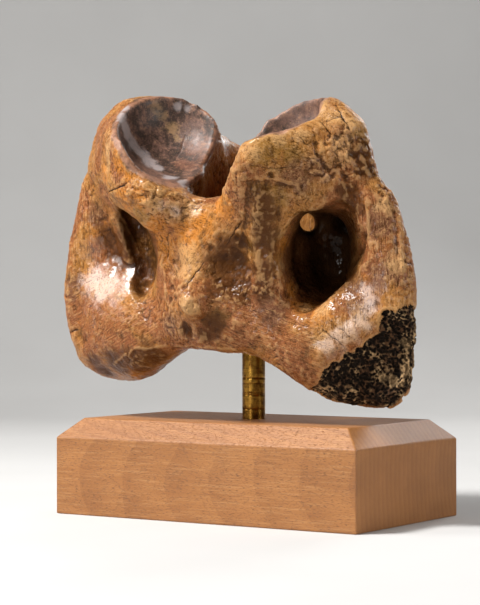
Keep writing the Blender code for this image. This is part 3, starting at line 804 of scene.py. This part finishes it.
class Shader:
    """Short ways to add nodes to a material. Lengths that its textures take are millimetres."""

    def __init__(self, name):
        self.material = bpy.data.materials.new(name)
        self.material.use_nodes = True
        self.tree = self.material.node_tree
        self.principled = self.tree.nodes["Principled BSDF"]
        place = self.add("ShaderNodeTexCoord").outputs["Object"]
        scaled = self.add("ShaderNodeVectorMath", operation="SCALE")
        self.put(scaled, Vector=place, Scale=1.0 / MM)
        self.place = scaled.outputs[0]

    def add(self, kind, **settings):
        node = self.tree.nodes.new(kind)
        for name, value in settings.items():
            setattr(node, name, value)
        return node

    def feed(self, socket, value):
        if isinstance(value, bpy.types.NodeSocket):
            self.tree.links.new(value, socket)
        elif isinstance(value, tuple) and len(value) == 3 and socket.type == "RGBA":
            socket.default_value = (*value, 1.0)
        else:
            socket.default_value = value

    def put(self, node, **values):
        """Feeds a node's inputs, whose names are given with _ in place of a space."""
        for name, value in values.items():
            self.feed(node.inputs[name.replace("_", " ")], value)

    def math(self, operation, first, second=0.0):
        node = self.add("ShaderNodeMath", operation=operation)
        self.feed(node.inputs[0], first)
        self.feed(node.inputs[1], second)
        return node.outputs[0]

    def total(self, *values):
        result = values[0]
        for value in values[1:]:
            result = self.math("ADD", result, value)
        return result

    def times(self, *values):
        result = values[0]
        for value in values[1:]:
            result = self.math("MULTIPLY", result, value)
        return result

    def step(self, value, low, high, most=1.0):
        """A smooth step, from 0 where value is low to most where it is high."""
        node = self.add("ShaderNodeMapRange", interpolation_type="SMOOTHSTEP")
        self.put(node, Value=value, From_Min=low, From_Max=high, To_Max=most)
        return node.outputs["Result"]

    def mixed(self, share, first, second):
        """A colour between first and second."""
        node = self.add("ShaderNodeMix", data_type="RGBA")
        self.feed(node.inputs[0], share)
        self.feed(node.inputs[6], first)
        self.feed(node.inputs[7], second)
        return node.outputs[2]

    def tinted(self, colour, pigment, value, low, high, most):
        """Pigment over a colour, from none at value low to the share most at high."""
        return self.mixed(self.step(value, low, high, most), colour, pigment)

    def blend(self, share, first, second):
        """A number between first and second."""
        node = self.add("ShaderNodeMix", data_type="FLOAT")
        self.feed(node.inputs[0], share)
        self.feed(node.inputs[2], first)
        self.feed(node.inputs[3], second)
        return node.outputs[0]

    def stretched(self, sizes, turn=(0.0, 0.0, 0.0)):
        """The place, turned by angles and divided by sizes, for a texture longer one way."""
        node = self.add("ShaderNodeMapping", vector_type="TEXTURE")
        self.put(node, Vector=self.place, Rotation=turn, Scale=sizes)
        return node.outputs["Vector"]

    def noise(self, size, detail=2.0, roughness=0.5, distortion=0.0, place=None):
        node = self.add("ShaderNodeTexNoise")
        place = self.place if place is None else place
        self.put(node, Vector=place, Scale=1.0 / size, Detail=detail)
        self.put(node, Roughness=roughness, Distortion=distortion)
        return node.outputs[0]

    def pores(self, size):
        """Distance to scattered points, in units of size."""
        node = self.add("ShaderNodeTexVoronoi")
        self.put(node, Vector=self.place, Scale=1.0 / size)
        return node.outputs["Distance"]

    def mask(self, name):
        return self.add("ShaderNodeAttribute", attribute_name=name).outputs["Fac"]

    def bumped(self, height):
        """The normal of a height in millimetres."""
        node = self.add("ShaderNodeBump")
        self.put(node, Strength=1.0, Distance=MM, Height=height)
        return node.outputs["Normal"]

    def finish(self, colour, roughness, normal, **constants):
        """Joins the nodes to the surface. constants are plain values of its other inputs."""
        self.put(self.principled, Base_Color=colour, Roughness=roughness, Normal=normal, **constants)
        return self.material


def turned_along(direction):
    """Angles that turn the texture's Z axis along a direction."""
    return tuple(Vector(direction).to_track_quat("Z", "Y").to_euler())


class BoneShader(Shader):
    """A shader with the noises that the bone's colours and relief share."""

    def __init__(self, name):
        super().__init__(name)
        self.blotches = self.noise(7.0, 4.0, 0.62, 0.5)
        self.mottle = self.noise(2.2, 5.0, 0.7)
        self.speckle = self.noise(0.55, 2.0, 0.6)
        self.unrest = self.total(self.blotches, self.mottle, -1.0)

    def painted(self, colour, mask_name, pigment, most, broken=1.0):
        """Pigment, up to the share most, where a mask is high. The noises break up its edge."""
        share = self.total(self.mask(mask_name), self.times(self.unrest, broken))
        return self.tinted(colour, pigment, share, 0.1, 1.0, most)

    def fibres(self, directions):
        """Fine streaks, which run along a direction of their own where its mask is high."""
        streaks = self.noise(1.0, 4.0, 0.7, 0.3, self.stretched((0.55, 0.55, 6.0)))
        for mask_name, direction in directions:
            place = self.stretched((0.5, 0.5, 6.0), turned_along(direction))
            own = self.noise(1.0, 4.0, 0.7, 0.3, place)
            streaks = self.blend(self.step(self.mask(mask_name), 0.1, 0.7), streaks, own)
        return streaks


def worn_colour(s, grain):
    """Golds and browns of the outside, with painted highlights, and painted shade that is darkest in
    clefts and in hollows.
    """
    fine, opening = s.mask("fine_edge"), s.mask("open")
    patches = s.noise(24.0, 3.0, 0.55, 0.6)
    colour = s.mixed(s.step(patches, 0.42, 0.6), RUSSET, GOLDEN)
    colour = s.tinted(colour, ORANGE, s.blotches, 0.55, 0.7, 0.7)
    colour = s.painted(colour, "russet", RUSSET, 0.75)
    colour = s.painted(colour, "gold", ORANGE, 0.85)
    colour = s.painted(colour, "olive", OLIVE, 0.8)
    colour = s.painted(colour, "purple", PURPLE, 0.8)
    colour = s.painted(colour, "tan", TAN, 0.6)
    # Painted highlights, pale pink, on the shining spots
    colour = s.painted(colour, "pale", PAINTED_HIGHLIGHT_PINK, 0.55, 1.6)
    for pigment, value, low, high, most in (
        (UMBER, s.blotches, 0.45, 0.3, 0.6), (UMBER, s.mottle, 0.47, 0.34, 0.6),
        (TAN, s.mottle, 0.55, 0.66, 0.22), (UMBER, grain, 0.48, 0.36, 0.7),
        (TAN, grain, 0.53, 0.64, 0.34), (UMBER, s.speckle, 0.42, 0.3, 0.6),
        (TAN, s.speckle, 0.6, 0.72, 0.4), (TAN, s.mask("broad_edge"), 0.3, 1.4, 0.25),
    ):
        colour = s.tinted(colour, pigment, value, low, high, most)
    # Painted shade on the dark spots, in deep brown and then umber
    colour = s.painted(colour, "painted_shade", SHADE_BROWN, 0.9, 0.45)
    colour = s.painted(colour, "painted_shade", UMBER, 0.4, 1.8)
    colour = s.tinted(colour, TAN, fine, 0.04, 0.2, 0.35)
    # Painted shade in fine creases
    colour = s.tinted(colour, UMBER, fine, -0.05, -0.2, 0.65)
    # Painted shade: darker, down to near black, where the surface is less open to the outside
    colour = s.tinted(colour, UMBER, opening, 0.9, 0.5, 0.7)
    return s.tinted(colour, DIRT_AND_SHADE, opening, 0.65, 0.2, 0.93)


def lining_colour(s):
    """The cups' lining: dark with mauve clouds, redder in places, and a painted highlight, pale grey,
    mostly along the left cup's lip.
    """
    clouds = s.times(s.total(s.blotches, s.mottle), 0.5)
    colour = s.mixed(s.step(clouds, 0.42, 0.6), CUP_DARK, CUP_MAUVE)
    colour = s.painted(colour, "cup_red", CUP_RED, 0.5, 1.6)
    colour = s.painted(colour, "cup_mauve", CUP_MAUVE, 0.6, 1.2)
    colour = s.painted(colour, "cup_tan", CUP_TAN, 0.6, 2.2)
    colour = s.painted(colour, "cup_rim", PINK_TAN, 0.45, 1.8)
    colour = s.tinted(colour, CUP_DARK, s.mottle, 0.48, 0.3, 0.5)
    # Painted highlight, pale grey, mostly along the left cup's lip
    colour = s.painted(colour, "cup_painted_highlight", CUP_PAINTED_HIGHLIGHT, 0.8, 0.9)
    return s.tinted(colour, TAN, s.speckle, 0.58, 0.72, 0.3)


def bone_material(name, directions, shine, coat, tint):
    """Mineralised bone. directions are the ways its fibres run, by mask."""
    s = BoneShader(name)
    cup, rough, glossy = s.mask("cup"), s.mask("rough"), s.mask("glossy")
    grain = s.fibres(directions)
    colour = s.mixed(cup, worn_colour(s, grain), lining_colour(s))

    wobble = s.times(s.total(s.noise(0.9, 3.0), -0.5), 1.6)
    offset = s.math("ABSOLUTE", s.total(s.mask("crack_side"), wobble))
    crack = s.times(s.step(offset, 1.0, 0.5), s.mask("crack_near"))
    colour = s.mixed(crack, colour, DIRT_AND_SHADE)
    holes = s.step(s.pores(1.3), 0.2, 0.1)
    holes = s.times(holes, s.step(s.total(s.noise(6.0), s.times(rough, 0.2)), 0.58, 0.7))
    holes = s.times(holes, s.total(1.0, s.times(glossy, -0.8)))
    colour = s.mixed(s.times(holes, 0.85), colour, DIRT_AND_SHADE)

    roughness = s.total(
        0.25, s.times(s.mottle, 0.28), s.times(rough, 0.08), s.times(crack, 0.4),
        s.times(glossy, -0.24), s.times(cup, 0.04),
    )
    relief = s.total(1.0, s.times(glossy, -0.7))
    relief = s.times(relief, s.total(1.0, s.times(cup, -0.8)))
    height = s.total(
        s.times(s.total(s.times(grain, 0.6), s.times(s.mottle, 0.4), s.times(s.speckle, 0.16)), relief),
        s.times(holes, -0.3), s.times(crack, -0.4),
    )
    return s.finish(
        colour, roughness, s.bumped(height), Coat_Weight=coat, Coat_Roughness=0.15,
        Specular_IOR_Level=shine, Specular_Tint=tint,
    )


def spongy_material():
    """The broken corner: dark cells between thin pale walls, with no polish."""
    s = Shader("spongy_fossil_bone")
    cell = s.mask("spongy_cell")
    walls = s.total(cell, s.times(s.total(s.noise(0.6, 3.0, 0.7), -0.5), 0.7))
    patches = s.noise(7.0, 3.0, 0.6)
    pale = s.mixed(s.step(patches, 0.45, 0.62), SPONGE_MIDDLE, SPONGE_LIGHT)
    pale = s.tinted(pale, SPONGE_LIGHT, s.mask("tan"), 0.2, 0.8, 0.9)
    colour = s.mixed(s.step(walls, 0.4, 0.75), SPONGE_DARK, pale)
    crust = s.total(s.mask("tan"), s.times(s.total(patches, -0.5), 1.5))
    colour = s.tinted(colour, SPONGE_LIGHT, crust, 0.3, 1.0, 0.4)
    height = s.times(s.noise(0.4, 3.0, 0.7), 0.3)
    roughness = s.total(0.75, s.times(cell, 0.1))
    return s.finish(colour, roughness, s.bumped(height), Specular_IOR_Level=0.15)


def wood_material():
    """Flat-sawn hardwood with its fibres along X: arcs on the front, bands on the ends."""
    s = Shader("block_hardwood")
    turn = (0.0, math.radians(3.5), math.radians(9.0))
    place = s.add("ShaderNodeMapping", vector_type="POINT")
    s.put(place, Vector=s.place, Location=(0.0, -96.0, -14.0), Rotation=turn)
    growth = s.add("ShaderNodeTexWave", wave_type="RINGS", rings_direction="X", wave_profile="SAW")
    s.put(growth, Vector=place.outputs["Vector"], Scale=0.095, Distortion=2.2)
    s.put(growth, Detail=2.0, Detail_Scale=0.35)
    rings = growth.outputs["Fac"]
    vessels = s.noise(1.0, 2.0, 0.6, 0.0, s.stretched((1.6, 0.16, 0.16)))
    fibres = s.noise(1.0, 3.0, 0.6, 0.0, s.stretched((14.0, 0.4, 0.4)))
    broad = s.noise(1.0, 3.0, 0.6, 0.3, s.stretched((70.0, 16.0, 16.0)))
    colour = s.tinted(WOOD_LIGHT, WOOD_DARK, rings, 0.2, 1.0, 0.55)
    colour = s.mixed(0.4, colour, s.mixed(s.step(broad, 0.35, 0.65), WOOD_DARK, WOOD_LIGHT))
    colour = s.tinted(colour, WOOD_DARK, fibres, 0.5, 0.34, 0.3)
    colour = s.tinted(colour, TAN, fibres, 0.52, 0.66, 0.2)
    colour = s.tinted(colour, WOOD_PORE, vessels, 0.42, 0.33, 0.75)
    height = s.total(s.times(fibres, 0.04), s.times(s.step(vessels, 0.42, 0.33), -0.06))
    return s.finish(colour, s.total(0.4, s.times(fibres, 0.25)), s.bumped(height))


def brass_material():
    s = Shader("turned_brass")
    haze = s.noise(2.5, 3.0, 0.6)
    rings = s.noise(1.0, 3.0, 0.7, 0.0, s.stretched((40.0, 40.0, 0.3)))
    colour = s.mixed(s.step(haze, 0.35, 0.7), BRASS, BRASS_DARK)
    colour = s.tinted(colour, BRASS_DARK, rings, 0.5, 0.35, 0.5)
    roughness = s.total(0.22, s.times(haze, 0.2))
    return s.finish(colour, roughness, s.bumped(s.times(rings, 0.02)), Metallic=1.0)


def floor_material():
    s = Shader("pale_floor")
    haze = s.noise(90.0, 2.0, 0.5)
    colour = s.mixed(haze, FLOOR_DARK, FLOOR_LIGHT)
    return s.finish(colour, s.total(0.7, s.times(haze, 0.1)), s.bumped(s.times(s.noise(0.8), 0.02)))


def coat(node, material):
    """Puts a material on a CAD node that keeps its shape."""
    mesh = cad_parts[node].data
    mesh.materials.clear()
    mesh.materials.append(material)


def wood_block():
    coat("base_block", wood_material())


def crossbar():
    coat("mount_crossbar", brass_material())


def turned_rod():
    """The rod with fine turned rings, as one surface of revolution."""
    low, high = (corner.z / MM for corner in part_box("brass_rod"))
    rng = np.random.default_rng(5)
    heights = [low, low + ROD_BOTTOM_BEVEL]
    radii = [ROD_RADIUS - ROD_BOTTOM_BEVEL, ROD_RADIUS]
    z = low + ROD_BOTTOM_BEVEL
    while z < high - RING_FREE_TOP:
        z += rng.uniform(*RING_SPACING)
        depth = rng.uniform(*FINE_RING_DEPTH) if rng.random() < FINE_RING_SHARE else DEEP_RING_DEPTH
        heights += [z - RING_HALF_WIDTH, z, z + RING_HALF_WIDTH]
        radii += [ROD_RADIUS, ROD_RADIUS - depth, ROD_RADIUS]
    heights += [high - ROD_TOP_BEVEL, high]
    radii += [ROD_RADIUS, ROD_RADIUS - ROD_TOP_BEVEL]
    turns = 72
    angles = np.linspace(0.0, 2.0 * math.pi, turns, endpoint=False)
    rings = [
        [(radius * math.cos(a), ROD_Y + radius * math.sin(a), z) for a in angles]
        for radius, z in zip(radii, heights)
    ]
    verts = [tuple(value * MM for value in point) for ring in rings for point in ring]
    faces = [
        (row * turns + step, row * turns + (step + 1) % turns,
         (row + 1) * turns + (step + 1) % turns, (row + 1) * turns + step)
        for row in range(len(rings) - 1) for step in range(turns)
    ]
    faces.append(tuple(reversed(range(turns))))
    faces.append(tuple(range((len(rings) - 1) * turns, len(rings) * turns)))
    mesh = bpy.data.meshes.new("turned_rod")
    mesh.from_pydata(verts, [], faces)
    mesh.shade_smooth()
    mesh.set_sharp_from_angle(angle=math.radians(50))
    piece = linked("turned_rod", mesh)
    mesh.materials.append(brass_material())
    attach(piece, "root")
    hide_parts("brass_rod")


def stage():
    """A pale floor that curves up into a backdrop, square to the camera."""
    yaw = math.radians(YAW)
    back = Vector((-math.sin(yaw), math.cos(yaw), 0.0))
    side = Vector((math.cos(yaw), math.sin(yaw), 0.0))
    profile = [(FLOOR_NEAR, 0.0), (FLOOR_FAR, 0.0)]
    for step in range(1, SWEEP_STEPS + 1):
        angle = math.pi / 2 * step / SWEEP_STEPS
        along = FLOOR_FAR + SWEEP_RADIUS * math.sin(angle)
        profile.append((along, SWEEP_RADIUS * (1 - math.cos(angle))))
    profile.append((FLOOR_FAR + SWEEP_RADIUS, BACKDROP_TOP))
    verts = [
        back * along + side * reach + Vector((0.0, 0.0, up))
        for along, up in profile for reach in (-FLOOR_HALF_WIDTH, FLOOR_HALF_WIDTH)
    ]
    faces = [(2 * i, 2 * i + 1, 2 * i + 3, 2 * i + 2) for i in range(len(profile) - 1)]
    mesh = bpy.data.meshes.new("pale_sweep")
    mesh.from_pydata(verts, [], faces)
    mesh.shade_smooth()
    floor = linked("pale_sweep", mesh)
    mesh.materials.append(floor_material())


def softbox(name, place, size, power, target):
    data = bpy.data.lights.new(name, "AREA")
    data.shape = "RECTANGLE"
    data.size, data.size_y = size
    data.energy = power
    lamp = linked(name, data)
    lamp.location = place
    lamp.rotation_euler = (Vector(target) - Vector(place)).to_track_quat("-Z", "Y").to_euler()


def lights():
    for settings in SOFTBOXES:
        softbox(*settings)
    world = bpy.data.worlds.new("studio")
    world.use_nodes = True
    world.node_tree.nodes["Background"].inputs[0].default_value = WORLD_GREY
    bpy.context.scene.world = world
    bpy.context.scene.view_settings.view_transform = "Standard"


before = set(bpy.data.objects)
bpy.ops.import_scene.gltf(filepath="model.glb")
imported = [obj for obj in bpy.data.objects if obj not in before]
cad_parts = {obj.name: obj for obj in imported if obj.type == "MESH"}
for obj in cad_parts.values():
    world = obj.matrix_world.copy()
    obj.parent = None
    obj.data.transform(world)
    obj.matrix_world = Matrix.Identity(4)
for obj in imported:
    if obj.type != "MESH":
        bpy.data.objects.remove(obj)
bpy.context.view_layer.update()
photo = Photo()
photo.add_camera()
stage()
lights()
wood_block()
turned_rod()
crossbar()
sculpted_bone(photo)
bpy.context.view_layer.update()
